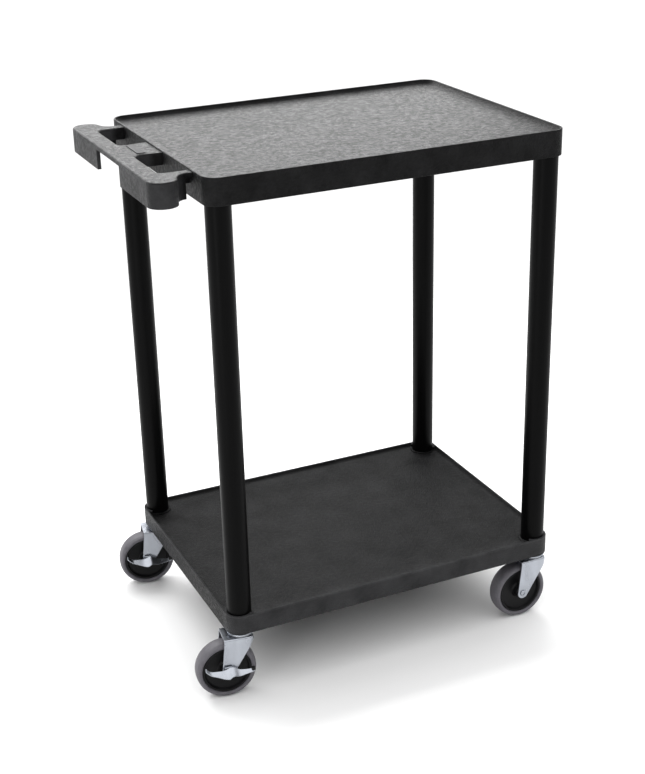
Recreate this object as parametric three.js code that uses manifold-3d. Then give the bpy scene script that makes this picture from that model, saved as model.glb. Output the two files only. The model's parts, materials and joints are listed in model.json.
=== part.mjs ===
// A rolling utility cart: two moulded tray shelves on four tube legs, a handle moulded into one end
// of the top shelf, and four swivel casters, of which the two at the handle end have side brakes.
//
// Millimetres, +Z up. X runs along the shelves with the handle at -X, and Y runs across them.
// The origin is on the floor, under the middle of the whole cart's box.
import * as THREE from "three";
import { mergeVertices } from "three/addons/utils/BufferGeometryUtils.js";
import Module from "manifold-3d";

// ---------------------------------------------------------------- driving dimensions

const GAP = 0.3; // between pieces that touch

// Sides of the round pieces.
const WHEEL_SIDES = 24;
const LEG_SIDES = 24;
const RACE_SIDES = 20;
const PIN_SIDES = 12;
const HEX_SIDES = 6;

// Shelves: 24 in by 18 in trays, 35 in high over all.
const SHELF_LENGTH = 609.6;
const SHELF_DEPTH = 457.2;
const TOP_RIM_HEIGHT = 885;
const BOTTOM_RIM_HEIGHT = 155;
const TOP_APRON = 43;
const BOTTOM_APRON = 34;
const WALL = 6;
const DECK = 6.5;
const LIP_HEIGHT = 8;
const LIP_TOP_WIDTH = 3;
const RIBS_ALONG = 1;
const RIBS_ACROSS = 2;
const RIB_THICKNESS = 4;
const RIB_DEPTH = 12; // below the deck

// Legs, and the sockets in the shelves' corners that hold them.
const LEG_RADIUS = 20;
const LEG_WALL = 2.5;
const LEG_INSET = 24.5; // a leg's axis to the shelf's outer faces, and the corner's radius
const SOCKET_WALL = 3.7;
const SOCKET_FLOOR = 5;
const SOCKET_COLLAR = 2.5; // how far the lower sockets stand up from the deck
const PLUG_LENGTH = 40;

// Handle: a plate with a skirt, dog-bone shaped in plan, with two hand holes and a bridge between.
const HANDLE_REACH = 76;
const HANDLE_DROP = 2.5; // its top lies this far below the rim
const HANDLE_PLATE = 7;
const HANDLE_DEPTH = 39;
const LOBE_RADIUS = 23.5;
const LOBE_CENTRE_Y = 185;
const NECK_RADIUS = 20;
const NECK_HALF_WIDTH = 171.5;
const GRIP_WIDTH = 31.5;
const BRIDGE_WIDTH = 76;
const HAND_HOLE_LENGTH = 114;
const HAND_HOLE_CORNER = 9;
const HAND_HOLE_FLANGE = 5;
const HAND_HOLE_FLANGE_DEPTH = 19.5;
const NOTCH_WIDTH = 115; // the gap in the middle of the handle's skirt
const ARM_SLOT = 11; // the skirt stops this far short of the shelf
const LABEL_LENGTH = 58;
const LABEL_WIDTH = 14;
const LABEL_THICKNESS = 0.8;
const LABEL_FROM_SHELF = 22.5;

// Casters: 4 in wheels that trail 28 mm behind the swivel axis.
const WHEEL_RADIUS = 50.8;
const TYRE_INNER_RADIUS = 41.3;
const TYRE_HALF_WIDTH = 14.5;
const RIM_HALF_WIDTH = 12.5;
const HUB_BOSS_RADIUS = 11;
const HUB_HALF_WIDTH = 17.5;
const HUB_WEB_HALF_WIDTH = 4;
const TRAIL = 28;
const FORK_TOP = 113;
const FORK_SHEET = 2.5;
const FORK_HALF_WIDTH = 21.5;
const FORK_REAR = 32; // behind the swivel axis
const FORK_NOSE = 23.4; // ahead of the swivel axis
const FORK_CORNER_RADIUS = 9;
const FORK_EYE_RADIUS = 9.5;
const BEARING_RADIUS = 21;
const BEARING_HEIGHT = 3;
const RACE_RADIUS = 22.5;
const STEM_RADIUS = 5.5;
const STEM_RISE = 39; // above the lower shelf's underside
const RIVET_HEAD_RADIUS = 9;
const RIVET_HEAD_HEIGHT = 3.5;
const BOLT_RADIUS = 4;
const BOLT_HEAD_RADIUS = 7;
const BOLT_HEAD_HEIGHT = 4.5;
const SLEEVE_RADIUS = 6.2;

// Side brakes: a rocking pedal on the axle bolt, outside the fork.
const PEDAL_SHEET = 2;
const PEDAL_REAR = 39; // from the axle to the curled end
const PEDAL_FRONT = 42;
const PEDAL_INNER_Y = 24.5;
const PEDAL_OUTER_Y = 38;
const PEDAL_TIP_WIDTH = 4;
const PEDAL_SLOPE = 1; // how steeply it falls away from the fork
const PEDAL_EYE_RADIUS = 9;
const PEDAL_RIDGE = 15; // above the axle
const PEDAL_RIDGE_X = 4; // ahead of the axle
const PEDAL_TAB_HALF_WIDTH = 6;
const PAD_LENGTH = 5;
const PAD_DEPTH = 6;
const PAD_LOW = -1; // below the axle
const PAD_HIGH = 6;

// Each caster's corner of the cart, the angle it has swung to, and whether it has a brake.
const CASTERS = [
  { place: "front_left", x: -1, y: -1, swing: -8, brake: true },
  { place: "rear_left", x: -1, y: 1, swing: -10, brake: true },
  { place: "front_right", x: 1, y: -1, swing: 0, brake: false },
  { place: "rear_right", x: 1, y: 1, swing: -5, brake: false },
];

const SHELF_END = -SHELF_LENGTH / 2; // the end face that the handle grows from
const HANDLE_TOP = TOP_RIM_HEIGHT - HANDLE_DROP;
const HANDLE_LOW = HANDLE_TOP - HANDLE_DEPTH;
const LOWER_UNDERSIDE = BOTTOM_RIM_HEIGHT - BOTTOM_APRON;
const LEG_X = SHELF_LENGTH / 2 - LEG_INSET;
const LEG_Y = SHELF_DEPTH / 2 - LEG_INSET;

// ---------------------------------------------------------------- materials

const plastic = new THREE.MeshStandardMaterial({ color: 0x26272a, roughness: 0.55, metalness: 0 });
const tube = new THREE.MeshStandardMaterial({ color: 0x141416, roughness: 0.4, metalness: 0 });
const labelFilm = new THREE.MeshStandardMaterial({ color: 0x8d9095, roughness: 0.5, metalness: 0 });
const nylon = new THREE.MeshStandardMaterial({ color: 0x2b2b2b, roughness: 0.6, metalness: 0 });
const zinc = new THREE.MeshStandardMaterial({ color: 0xb4b6bb, roughness: 0.3, metalness: 1 });
const steel = new THREE.MeshStandardMaterial({ color: 0x8e9196, roughness: 0.35, metalness: 1 });
const greyRubber = new THREE.MeshStandardMaterial({ color: 0x66656d, roughness: 0.6, metalness: 0 });
const hubPlastic = new THREE.MeshStandardMaterial({ color: 0x17171a, roughness: 0.5, metalness: 0 });
const blackRubber = new THREE.MeshStandardMaterial({ color: 0x0e0e0f, roughness: 0.8, metalness: 0 });

// ---------------------------------------------------------------- solids and meshes

const wasm = await Module();
wasm.setup();

function solid(geometry) {
  const bare = geometry.clone();
  bare.deleteAttribute("normal");
  bare.deleteAttribute("uv");
  const merged = mergeVertices(bare, 1e-4);
  const mesh = new wasm.Mesh({
    numProp: 3,
    vertProperties: merged.getAttribute("position").array,
    triVerts: new Uint32Array(merged.index.array),
  });
  return new wasm.Manifold(mesh);
}

function mesh(name, body, material) {
  const { vertProperties, triVerts } = body.getMesh();
  const geometry = new THREE.BufferGeometry();
  geometry.setAttribute("position", new THREE.BufferAttribute(vertProperties, 3));
  geometry.setIndex(new THREE.BufferAttribute(triVerts, 1));
  geometry.computeVertexNormals();
  const made = new THREE.Mesh(geometry, material);
  made.name = name;
  return made;
}

function joined(bodies) {
  return bodies.reduce((whole, body) => whole.add(body));
}

// A flat shape in plan, standing between two heights.
function slab(shape, low, high, curveSegments = 3) {
  const depth = high - low;
  const geometry = new THREE.ExtrudeGeometry(shape, { depth, bevelEnabled: false, curveSegments });
  return solid(geometry.translate(0, 0, low));
}

// A flat shape drawn in X and Z, standing between two values of Y.
function sidePlate(shape, lowY, highY, curveSegments = 4) {
  const depth = highY - lowY;
  const geometry = new THREE.ExtrudeGeometry(shape, { depth, bevelEnabled: false, curveSegments });
  return solid(geometry.rotateX(Math.PI / 2).translate(0, highY, 0));
}

function box(low, high) {
  const size = high.map((value, axis) => value - low[axis]);
  const middle = high.map((value, axis) => (value + low[axis]) / 2);
  return solid(new THREE.BoxGeometry(...size).translate(...middle));
}

// A profile of [radius, height] corners, anticlockwise, turned about the Z axis.
function turned(profile, segments) {
  const points = profile.map(([radius, height]) => new THREE.Vector2(radius, height));
  return solid(new THREE.LatheGeometry(points, segments).rotateX(Math.PI / 2));
}

function ring(inner, outer, low, high, segments) {
  return turned([[inner, low], [outer, low], [outer, high], [inner, high], [inner, low]], segments);
}

function rod(radius, low, high, segments) {
  return turned([[0, low], [radius, low], [radius, high], [0, high]], segments);
}

// A body turned about Z, laid along the wheel's axle, so that its heights become places along Y.
function alongAxle(body) {
  return body.rotate([-90, 0, 0]).translate([-TRAIL, 0, WHEEL_RADIUS]);
}

// ---------------------------------------------------------------- outlines

function roundedRectangle(length, depth, radius) {
  const x = length / 2 - radius;
  const y = depth / 2 - radius;
  const shape = new THREE.Shape();
  shape.absarc(x, y, radius, 0, Math.PI / 2);
  shape.absarc(-x, y, radius, Math.PI / 2, Math.PI);
  shape.absarc(-x, -y, radius, Math.PI, 1.5 * Math.PI);
  shape.absarc(x, -y, radius, 1.5 * Math.PI, 2 * Math.PI);
  return shape;
}

function shelfOutline(inset) {
  return roundedRectangle(SHELF_LENGTH - 2 * inset, SHELF_DEPTH - 2 * inset, LEG_INSET - inset);
}

// The handle in plan: a straight grip with a round lobe at each end, and a hollow neck between each
// lobe and the shelf. The inset draws it smaller all round, and root is where it ends inside the shelf.
function handleOutline(inset, root) {
  const lobeX = SHELF_END - HANDLE_REACH + LOBE_RADIUS;
  const lobe = LOBE_RADIUS - inset;
  const neck = NECK_RADIUS + inset;
  const neckY = NECK_HALF_WIDTH + NECK_RADIUS;
  const tilt = Math.asin((neckY - LOBE_CENTRE_Y) / (LOBE_RADIUS + NECK_RADIUS));
  const neckX = lobeX + (LOBE_RADIUS + NECK_RADIUS) * Math.cos(tilt);
  const start = Math.acos((SHELF_END - neckX) / neck);
  const shape = new THREE.Shape();
  shape.moveTo(root, neckY - neck * Math.sin(start));
  shape.absarc(neckX, neckY, neck, -start, -Math.PI + tilt, true);
  shape.absarc(lobeX, LOBE_CENTRE_Y, lobe, tilt, Math.PI);
  shape.absarc(lobeX, -LOBE_CENTRE_Y, lobe, Math.PI, 2 * Math.PI - tilt);
  shape.absarc(neckX, -neckY, neck, Math.PI - tilt, start, true);
  shape.lineTo(root, -neckY + neck * Math.sin(start));
  return shape;
}

// A hand hole in plan, against the shelf's end face, drawn larger by the given margin.
function handHole(side, margin) {
  const near = BRIDGE_WIDTH / 2 - margin;
  const far = BRIDGE_WIDTH / 2 + HAND_HOLE_LENGTH + margin;
  const corner = HAND_HOLE_CORNER + margin;
  const x = SHELF_END - HANDLE_REACH + GRIP_WIDTH - margin + corner;
  const shape = new THREE.Shape();
  shape.moveTo(SHELF_END, side * near);
  shape.lineTo(SHELF_END, side * far);
  shape.absarc(x, side * (far - corner), corner, side * Math.PI / 2, side * Math.PI, side < 0);
  shape.absarc(x, side * (near + corner), corner, side * Math.PI, side * 1.5 * Math.PI, side < 0);
  return shape;
}

// ---------------------------------------------------------------- shelves

// What is taken out above the deck: its lower edge is rounded, which leaves a hollow fillet
// where the lip meets the deck.
function trayRecess(rim) {
  const geometry = new THREE.ExtrudeGeometry(shelfOutline(LIP_TOP_WIDTH + LIP_HEIGHT), {
    depth: LIP_HEIGHT,
    bevelThickness: LIP_HEIGHT,
    bevelSize: LIP_HEIGHT,
    bevelSegments: 3,
    curveSegments: 3,
  });
  return solid(geometry.translate(0, 0, rim));
}

// The places of a number of ribs that divide a length into equal bays.
function ribPlaces(count, length) {
  return Array.from({ length: count }, (_, index) => length * ((index + 1) / (count + 1) - 0.5));
}

function ribs(low, high) {
  const reachX = (SHELF_LENGTH - WALL) / 2;
  const reachY = (SHELF_DEPTH - WALL) / 2;
  const half = RIB_THICKNESS / 2;
  const along = ribPlaces(RIBS_ALONG, SHELF_DEPTH).map((y) =>
    box([-reachX, y - half, low], [reachX, y + half, high]),
  );
  const across = ribPlaces(RIBS_ACROSS, SHELF_LENGTH).map((x) =>
    box([x - half, -reachY, low], [x + half, reachY, high]),
  );
  return joined([...along, ...across]);
}

function atCorners(body) {
  const corners = [];
  for (const x of [-LEG_X, LEG_X]) {
    for (const y of [-LEG_Y, LEG_Y]) {
      corners.push(body.translate([x, y, 0]));
    }
  }
  return joined(corners);
}

// A tray with a skirt all round, ribs under its deck and a leg socket in each corner.
function tray(rim, apron, socketTop) {
  const low = rim - apron;
  const underDeck = rim - LIP_HEIGHT - DECK;
  const socket = rod(LEG_RADIUS + GAP + SOCKET_WALL, low, socketTop, LEG_SIDES);
  return slab(shelfOutline(0), low, rim)
    .subtract(trayRecess(rim))
    .subtract(slab(shelfOutline(WALL), low - 1, underDeck))
    .add(ribs(underDeck - RIB_DEPTH, underDeck + 1))
    .add(atCorners(socket));
}

function handle() {
  const underPlate = HANDLE_TOP - HANDLE_PLATE;
  const flangeLow = HANDLE_TOP - HAND_HOLE_FLANGE_DEPTH;
  const skirtInside = SHELF_END - HANDLE_REACH + WALL;
  let body = slab(handleOutline(0, SHELF_END + WALL / 2), HANDLE_LOW, HANDLE_TOP, 6);
  body = body.subtract(slab(handleOutline(WALL, SHELF_END + WALL), HANDLE_LOW - 1, underPlate, 6));
  for (const side of [-1, 1]) {
    body = body.add(slab(handHole(side, HAND_HOLE_FLANGE), flangeLow, underPlate + 1));
    body = body.subtract(slab(handHole(side, 0), flangeLow - 1, HANDLE_TOP + 1));
    const slotY = [side * (NECK_HALF_WIDTH - 2 * WALL), side * (NECK_HALF_WIDTH + 2 * WALL)];
    body = body.subtract(
      box(
        [SHELF_END - ARM_SLOT, Math.min(...slotY), HANDLE_LOW - 1],
        [SHELF_END + WALL, Math.max(...slotY), underPlate],
      ),
    );
  }
  const notch = box(
    [skirtInside - 2 * WALL, -NOTCH_WIDTH / 2, HANDLE_LOW - 1],
    [skirtInside + 1, NOTCH_WIDTH / 2, underPlate],
  );
  return body.subtract(notch);
}

function topShelf() {
  const low = TOP_RIM_HEIGHT - TOP_APRON;
  const underDeck = TOP_RIM_HEIGHT - LIP_HEIGHT - DECK;
  const bore = rod(LEG_RADIUS + GAP, low - 1, underDeck, LEG_SIDES);
  return tray(TOP_RIM_HEIGHT, TOP_APRON, underDeck + 1)
    .add(handle())
    .subtract(atCorners(bore));
}

function bottomShelf() {
  const collar = BOTTOM_RIM_HEIGHT - LIP_HEIGHT + SOCKET_COLLAR;
  const socketFloor = LOWER_UNDERSIDE + SOCKET_FLOOR;
  const bore = rod(LEG_RADIUS + GAP, socketFloor, BOTTOM_RIM_HEIGHT + 1, LEG_SIDES);
  const stemHole = rod(STEM_RADIUS + 2 * GAP, LOWER_UNDERSIDE - 1, socketFloor + 1, PIN_SIDES);
  return tray(BOTTOM_RIM_HEIGHT, BOTTOM_APRON, collar)
    .subtract(atCorners(bore))
    .subtract(atCorners(stemHole));
}

function bridgeLabel() {
  const x = SHELF_END - LABEL_FROM_SHELF - LABEL_WIDTH / 2;
  const low = HANDLE_TOP + GAP;
  const outline = roundedRectangle(LABEL_WIDTH, LABEL_LENGTH, 2);
  return slab(outline, low, low + LABEL_THICKNESS, 1).translate([x, 0, 0]);
}

// ---------------------------------------------------------------- legs

function leg() {
  const low = LOWER_UNDERSIDE + SOCKET_FLOOR + GAP;
  const high = TOP_RIM_HEIGHT - LIP_HEIGHT - DECK - GAP;
  return ring(LEG_RADIUS - LEG_WALL, LEG_RADIUS, low, high, LEG_SIDES);
}

// The nylon socket in a leg's lower end that grips the caster's stem.
function stemSocket() {
  const low = LOWER_UNDERSIDE + SOCKET_FLOOR + GAP;
  return ring(STEM_RADIUS + GAP, LEG_RADIUS - LEG_WALL - GAP, low, low + PLUG_LENGTH, LEG_SIDES);
}

// ---------------------------------------------------------------- casters
// A caster's own frame has its swivel axis on Z, the floor at 0 and the wheel behind, towards -X.

function stem() {
  const headTop = FORK_TOP - FORK_SHEET - 2 * GAP;
  const headLow = headTop - RIVET_HEAD_HEIGHT;
  const top = LOWER_UNDERSIDE + STEM_RISE;
  const profile = [
    [0, headLow],
    [RIVET_HEAD_RADIUS - 2, headLow],
    [RIVET_HEAD_RADIUS, headLow + 1.5],
    [RIVET_HEAD_RADIUS, headTop],
    [STEM_RADIUS, headTop],
    [STEM_RADIUS, top - 2],
    [STEM_RADIUS - 1.5, top],
    [0, top],
  ];
  return turned(profile, PIN_SIDES);
}

function ballRing() {
  const low = FORK_TOP + GAP;
  const high = low + BEARING_HEIGHT;
  const profile = [
    [STEM_RADIUS + 1, low],
    [BEARING_RADIUS - 1, low],
    [BEARING_RADIUS, (low + high) / 2],
    [BEARING_RADIUS - 1, high],
    [STEM_RADIUS + 1, high],
    [STEM_RADIUS + 1, low],
  ];
  return turned(profile, RACE_SIDES);
}

function upperRace() {
  const low = FORK_TOP + BEARING_HEIGHT + 2 * GAP;
  const high = LOWER_UNDERSIDE - GAP;
  const profile = [
    [STEM_RADIUS + GAP, low],
    [RACE_RADIUS - 1, low],
    [RACE_RADIUS, low + 1.5],
    [RACE_RADIUS - 4, high],
    [STEM_RADIUS + GAP, high],
    [STEM_RADIUS + GAP, low],
  ];
  return turned(profile, RACE_SIDES);
}

function forkCheek() {
  const eyeX = -TRAIL;
  const shape = new THREE.Shape();
  shape.moveTo(-FORK_REAR, FORK_TOP);
  shape.lineTo(eyeX - FORK_EYE_RADIUS, WHEEL_RADIUS);
  shape.absarc(eyeX, WHEEL_RADIUS, FORK_EYE_RADIUS, Math.PI, 1.8 * Math.PI);
  shape.quadraticCurveTo(FORK_NOSE / 3, 0.77 * FORK_TOP, FORK_NOSE - FORK_CORNER_RADIUS, FORK_TOP);
  return shape;
}

function forkCrown() {
  const cornerX = FORK_NOSE - FORK_CORNER_RADIUS;
  const cornerY = FORK_HALF_WIDTH - FORK_CORNER_RADIUS;
  const shape = new THREE.Shape();
  shape.moveTo(-FORK_REAR, FORK_HALF_WIDTH);
  shape.lineTo(-FORK_REAR, -FORK_HALF_WIDTH);
  shape.absarc(cornerX, -cornerY, FORK_CORNER_RADIUS, -Math.PI / 2, 0);
  shape.absarc(cornerX, cornerY, FORK_CORNER_RADIUS, 0, Math.PI / 2);
  return shape;
}

function fork() {
  const inner = FORK_HALF_WIDTH - FORK_SHEET;
  const boltHole = rod(BOLT_RADIUS + GAP, -FORK_HALF_WIDTH - 1, FORK_HALF_WIDTH + 1, PIN_SIDES);
  return slab(forkCrown(), FORK_TOP - FORK_SHEET, FORK_TOP)
    .add(sidePlate(forkCheek(), inner, FORK_HALF_WIDTH))
    .add(sidePlate(forkCheek(), -FORK_HALF_WIDTH, -inner))
    .subtract(rod(STEM_RADIUS + 2 * GAP, FORK_TOP - 2 * FORK_SHEET, FORK_TOP + 1, PIN_SIDES))
    .subtract(alongAxle(boltHole));
}

// The axle's stack along -Y: the fork's cheek, the brake pedal's eye where there is one, and the nut.
function nutFace(brake) {
  return brake ? -FORK_HALF_WIDTH - PEDAL_SHEET - 2 * GAP : -FORK_HALF_WIDTH - GAP;
}

function axleBolt(brake) {
  const head = FORK_HALF_WIDTH + GAP;
  const end = nutFace(brake) - BOLT_HEAD_HEIGHT - 1.5;
  const shank = rod(BOLT_RADIUS, end, head + 1, PIN_SIDES);
  return alongAxle(shank.add(rod(BOLT_HEAD_RADIUS, head, head + BOLT_HEAD_HEIGHT, HEX_SIDES)));
}

function axleNut(brake) {
  const face = nutFace(brake);
  const bore = rod(BOLT_RADIUS + GAP, face - BOLT_HEAD_HEIGHT - 1, face + 1, PIN_SIDES);
  return alongAxle(rod(BOLT_HEAD_RADIUS, face - BOLT_HEAD_HEIGHT, face, HEX_SIDES).subtract(bore));
}

function axleSleeve() {
  const end = FORK_HALF_WIDTH - FORK_SHEET - GAP;
  return alongAxle(ring(BOLT_RADIUS + GAP, SLEEVE_RADIUS, -end, end, PIN_SIDES));
}

// Mirrors one half of a wheel's section, from the middle plane outwards, to make the whole section.
function wheelSection(halfSection) {
  const lower = halfSection.map(([radius, height]) => [radius, -height]).reverse();
  return alongAxle(turned([...halfSection, ...lower, halfSection[0]], WHEEL_SIDES));
}

function hub() {
  const rim = TYRE_INNER_RADIUS - GAP;
  return wheelSection([
    [rim, RIM_HALF_WIDTH],
    [rim - 3, RIM_HALF_WIDTH],
    [rim - 7, HUB_WEB_HALF_WIDTH],
    [HUB_BOSS_RADIUS + 2, HUB_WEB_HALF_WIDTH],
    [HUB_BOSS_RADIUS, HUB_HALF_WIDTH],
    [SLEEVE_RADIUS + GAP, HUB_HALF_WIDTH],
  ]);
}

function tyre() {
  return wheelSection([
    [WHEEL_RADIUS, 0.55 * TYRE_HALF_WIDTH],
    [WHEEL_RADIUS - 1.5, 0.85 * TYRE_HALF_WIDTH],
    [WHEEL_RADIUS - 4.5, TYRE_HALF_WIDTH],
    [TYRE_INNER_RADIUS, RIM_HALF_WIDTH],
  ]);
}

// The pedal from the side: a ridge over the axle, a wing to each side, and the rear end curled up.
function pedalProfile() {
  const corners = [
    [-PEDAL_REAR, 17],
    [-PEDAL_REAR + 8, 10.5],
    [PEDAL_RIDGE_X - 15, 9.5],
    [PEDAL_RIDGE_X, PEDAL_RIDGE],
    [PEDAL_RIDGE_X + 15, 9],
    [PEDAL_FRONT, 3],
  ];
  const upper = new THREE.SplineCurve(corners.map(([x, z]) => new THREE.Vector2(x, z))).getPoints(15);
  const lower = upper.map((point) => new THREE.Vector2(point.x, point.y - PEDAL_SHEET)).reverse();
  return new THREE.Shape([...upper, ...lower]);
}

// The pedal in plan: pointed outwards in the middle and narrow at both ends.
function pedalOutline() {
  const tip = -PEDAL_INNER_Y - PEDAL_TIP_WIDTH;
  const rear = -PEDAL_REAR - 1;
  const front = PEDAL_FRONT + 1;
  const shape = new THREE.Shape();
  shape.moveTo(rear, -PEDAL_INNER_Y);
  shape.lineTo(rear, tip);
  shape.quadraticCurveTo(-PEDAL_REAR / 3, -PEDAL_OUTER_Y, PEDAL_RIDGE_X, -PEDAL_OUTER_Y);
  shape.quadraticCurveTo(PEDAL_FRONT / 3, -PEDAL_OUTER_Y, front, tip);
  shape.lineTo(front, -PEDAL_INNER_Y);
  return shape;
}

function brakePedal() {
  const outer = -FORK_HALF_WIDTH - GAP - PEDAL_SHEET;
  const inner = outer + PEDAL_SHEET;
  const low = -PEDAL_OUTER_Y;
  const high = PEDAL_OUTER_Y;
  const slope = new THREE.Matrix4().makeShear(0, 0, 0, PEDAL_SLOPE, 0, 0);
  const sheet = new THREE.ExtrudeGeometry(pedalProfile(), { depth: PEDAL_OUTER_Y, bevelEnabled: false })
    .rotateX(Math.PI / 2)
    .translate(0, PEDAL_INNER_Y + inner, 0)
    .applyMatrix4(slope)
    .translate(0, -PEDAL_INNER_Y, 0);
  const tab = box([-PEDAL_TAB_HALF_WIDTH, -PEDAL_INNER_Y - 1, low], [PEDAL_TAB_HALF_WIDTH, inner, high]);
  const eye = new THREE.Shape();
  eye.absarc(0, 0, PEDAL_EYE_RADIUS, 0.85 * Math.PI, 2.15 * Math.PI);
  eye.lineTo(PEDAL_TAB_HALF_WIDTH, PEDAL_RIDGE);
  eye.lineTo(-PEDAL_TAB_HALF_WIDTH, PEDAL_RIDGE);
  const hole = new THREE.Shape().absarc(0, 0, BOLT_RADIUS + GAP, 0, 2 * Math.PI);
  return solid(sheet)
    .intersect(slab(pedalOutline(), low, high).add(tab))
    .add(sidePlate(eye, outer, inner))
    .subtract(sidePlate(hole, outer - 1, inner + 1, PIN_SIDES))
    .translate([-TRAIL, 0, WHEEL_RADIUS]);
}

// The rubber toe pad at the pedal's front end.
function pedalPad() {
  const outline = roundedRectangle(PAD_LENGTH, PAD_DEPTH, 1.5);
  return slab(outline, PAD_LOW, PAD_HIGH, 1).translate([
    PEDAL_FRONT + GAP + PAD_LENGTH / 2 - TRAIL,
    -PEDAL_INNER_Y - PEDAL_TIP_WIDTH / 2,
    WHEEL_RADIUS,
  ]);
}

function caster({ place, x, y, swing, brake }) {
  const group = new THREE.Group();
  group.position.set(x * LEG_X, y * LEG_Y, 0);
  group.rotation.z = THREE.MathUtils.degToRad(swing);
  group.add(
    mesh(`caster_stem_${place}`, stem(), steel),
    mesh(`upper_race_${place}`, upperRace(), zinc),
    mesh(`ball_ring_${place}`, ballRing(), steel),
    mesh(`fork_${place}`, fork(), zinc),
    mesh(`axle_bolt_${place}`, axleBolt(brake), zinc),
    mesh(`axle_nut_${place}`, axleNut(brake), zinc),
    mesh(`axle_sleeve_${place}`, axleSleeve(), steel),
    mesh(`wheel_hub_${place}`, hub(), hubPlastic),
    mesh(`tyre_${place}`, tyre(), greyRubber),
  );
  if (brake) {
    group.add(
      mesh(`brake_pedal_${place}`, brakePedal(), zinc),
      mesh(`brake_pad_${place}`, pedalPad(), blackRubber),
    );
  }
  return group;
}

// ---------------------------------------------------------------- the cart

const cart = new THREE.Group();
cart.add(
  mesh("top_shelf", topShelf(), plastic),
  mesh("bottom_shelf", bottomShelf(), plastic),
  mesh("bridge_label", bridgeLabel(), labelFilm),
);

for (const corner of CASTERS) {
  const post = new THREE.Group();
  post.position.set(corner.x * LEG_X, corner.y * LEG_Y, 0);
  post.add(
    mesh(`leg_${corner.place}`, leg(), tube),
    mesh(`stem_socket_${corner.place}`, stemSocket(), nylon),
  );
  cart.add(post, caster(corner));
}

// The origin moves from the shelves' middle to the middle of the whole box.
const bounds = new THREE.Box3().setFromObject(cart, true);
cart.position.set(-(bounds.min.x + bounds.max.x) / 2, -(bounds.min.y + bounds.max.y) / 2, 0);

const assembly = new THREE.Group();
assembly.name = "rolling_utility_cart";
assembly.add(cart);

export default assembly;
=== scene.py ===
"""The looks of a rolling utility cart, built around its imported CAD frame.

Shapes are worked out in millimetres in the frame's own axes, and every finished piece is in metres.
"""

import json
import math

import bmesh
import bpy
from bpy.props import FloatProperty, FloatVectorProperty, PointerProperty
from mathutils import Matrix, Vector


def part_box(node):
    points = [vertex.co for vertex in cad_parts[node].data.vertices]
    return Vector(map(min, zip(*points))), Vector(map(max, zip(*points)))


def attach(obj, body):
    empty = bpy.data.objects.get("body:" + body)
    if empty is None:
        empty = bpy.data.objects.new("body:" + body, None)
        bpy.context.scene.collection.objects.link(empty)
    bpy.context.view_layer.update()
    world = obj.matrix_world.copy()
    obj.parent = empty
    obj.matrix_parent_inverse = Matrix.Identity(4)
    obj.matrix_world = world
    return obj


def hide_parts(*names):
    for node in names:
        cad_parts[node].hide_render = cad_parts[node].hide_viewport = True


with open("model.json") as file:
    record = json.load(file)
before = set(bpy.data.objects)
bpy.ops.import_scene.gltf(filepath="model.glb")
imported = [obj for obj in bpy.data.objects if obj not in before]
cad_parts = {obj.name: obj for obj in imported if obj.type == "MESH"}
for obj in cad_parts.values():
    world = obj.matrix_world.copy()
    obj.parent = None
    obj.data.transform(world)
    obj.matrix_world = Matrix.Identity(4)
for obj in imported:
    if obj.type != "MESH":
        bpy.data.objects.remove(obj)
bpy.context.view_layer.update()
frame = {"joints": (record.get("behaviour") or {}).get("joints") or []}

bl_info = {
    "name": "Rolling Utility Cart",
    "version": (1, 0, 0),
    "blender": (4, 5, 0),
    "location": "3D View > Sidebar > Cart",
    "description": "Builds the visible pieces of a rolling utility cart around its CAD frame",
    "category": "Add Mesh",
}

MM = 0.001
PLACES = ("front_left", "rear_left", "front_right", "rear_right")
BRAKED = ("front_left", "rear_left")


# ---------------------------------------------------------------- settings


def length(name, millimetres, description):
    return FloatProperty(name=name, description=description, default=millimetres * MM, min=0.0, unit="LENGTH")


def colour(name, shade, description):
    return FloatVectorProperty(
        name=name, description=description, default=shade, size=3, min=0.0, max=1.0, subtype="COLOR"
    )


class InMillimetres:
    """Reads a settings group's lengths in millimetres."""

    def __init__(self, settings):
        self.settings = settings

    def __getattr__(self, name):
        return getattr(self.settings, name) / MM


class CartTraySettings(bpy.types.PropertyGroup):
    corner: length("Corner radius", 24.5, "Radius of the shelves' upright corners")
    lip_width: length("Lip width", 3.0, "Width of the flat top of the lip")
    lip_fillet: length("Lip fillet", 8.5, "How far the hollow fillet inside the lip reaches")
    lip_drop: length("Lip drop", 7.0, "Height of the hollow fillet inside the lip")
    deck_dish: length("Deck dish", 1.0, "How far the deck falls away from its edges")
    edge: length("Edge rounding", 1.3, "Rounding of the lip's edges")
    wall: length("Wall", 6.0, "Thickness of the skirt")
    deck: length("Deck", 6.5, "Thickness of the deck")
    rib_width: length("Rib width", 4.0, "Thickness of the ribs under the deck")
    rib_depth: length("Rib depth", 12.0, "How far the ribs hang below the deck")
    collar: length("Collar", 2.5, "How far the lower leg sockets stand above the deck")


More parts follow.
